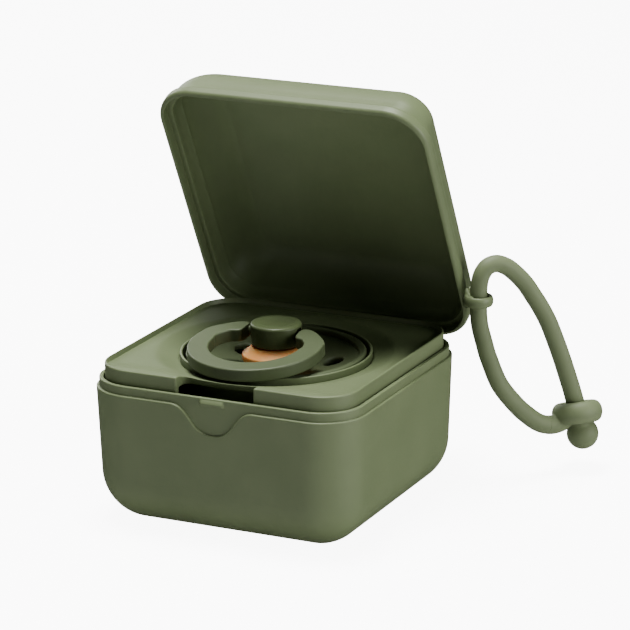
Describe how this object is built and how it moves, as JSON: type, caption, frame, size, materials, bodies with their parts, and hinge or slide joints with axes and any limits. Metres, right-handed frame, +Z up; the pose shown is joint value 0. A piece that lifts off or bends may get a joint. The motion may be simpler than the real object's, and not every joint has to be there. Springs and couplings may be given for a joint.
{
  "type": "pacifier box",
  "caption": "Square-round hinged plastic box with a lift-out dished tray that holds a pacifier with a folding ring handle, and a silicone strap looped through a side eyelet.",
  "frame": {"origin": "centre of the base's flat underside, on the surface that the box stands on", "axes": "+Z up; +X to the right as seen from the front, towards the side that has the strap; +Y to the back, where the hinge is"},
  "size_m": [0.1006, 0.0916, 0.1001],
  "materials": {
    "sage_plastic": "satin moulded polypropylene, sage green",
    "dark_sage_plastic": "satin moulded polypropylene, a shade darker",
    "amber_latex": "soft natural latex, amber",
    "sage_silicone": "matte silicone rubber, sage green"
  },
  "bodies": {
    "base": {"base_shell": "sage_plastic", "hinge_pin": "sage_plastic"},
    "lid": {"lid_shell": "sage_plastic"},
    "tray": {"tray": "sage_plastic"},
    "pacifier": {"pacifier_shield": "sage_plastic", "pacifier_nipple": "amber_latex", "pacifier_knob": "dark_sage_plastic"},
    "handle": {"pacifier_handle": "sage_plastic"},
    "strap": {"strap_upper": "sage_silicone", "strap_lower": "sage_silicone", "strap_ring": "sage_silicone", "strap_ball": "sage_silicone"}
  },
  "joints": [
    {"name": "lid_hinge", "type": "hinge", "parent": "base", "child": "lid", "pos_m": [0, 0.03684, 0.03254], "axis": [-1, 0, 0], "range_deg": [-63.25, 36.75]},
    {"name": "tray_lift", "type": "slide", "parent": "base", "child": "tray", "axis": [0, 0, 1], "range_m": [0, 0.02]},
    {"name": "pacifier_lift", "type": "slide", "parent": "tray", "child": "pacifier", "axis": [0, 0, 1], "range_m": [0, 0.03]},
    {"name": "handle_fold", "type": "hinge", "parent": "pacifier", "child": "handle", "pos_m": [0, 0, 0.04235], "axis": [-1, 0, 0], "range_deg": [0, 168]},
    {"name": "strap_swivel", "type": "hinge", "parent": "lid", "child": "strap", "pos_m": [0.03975, 0.03101, 0.04617], "axis": [0, 0, 1], "range_deg": [-75, 10]}
  ]
}
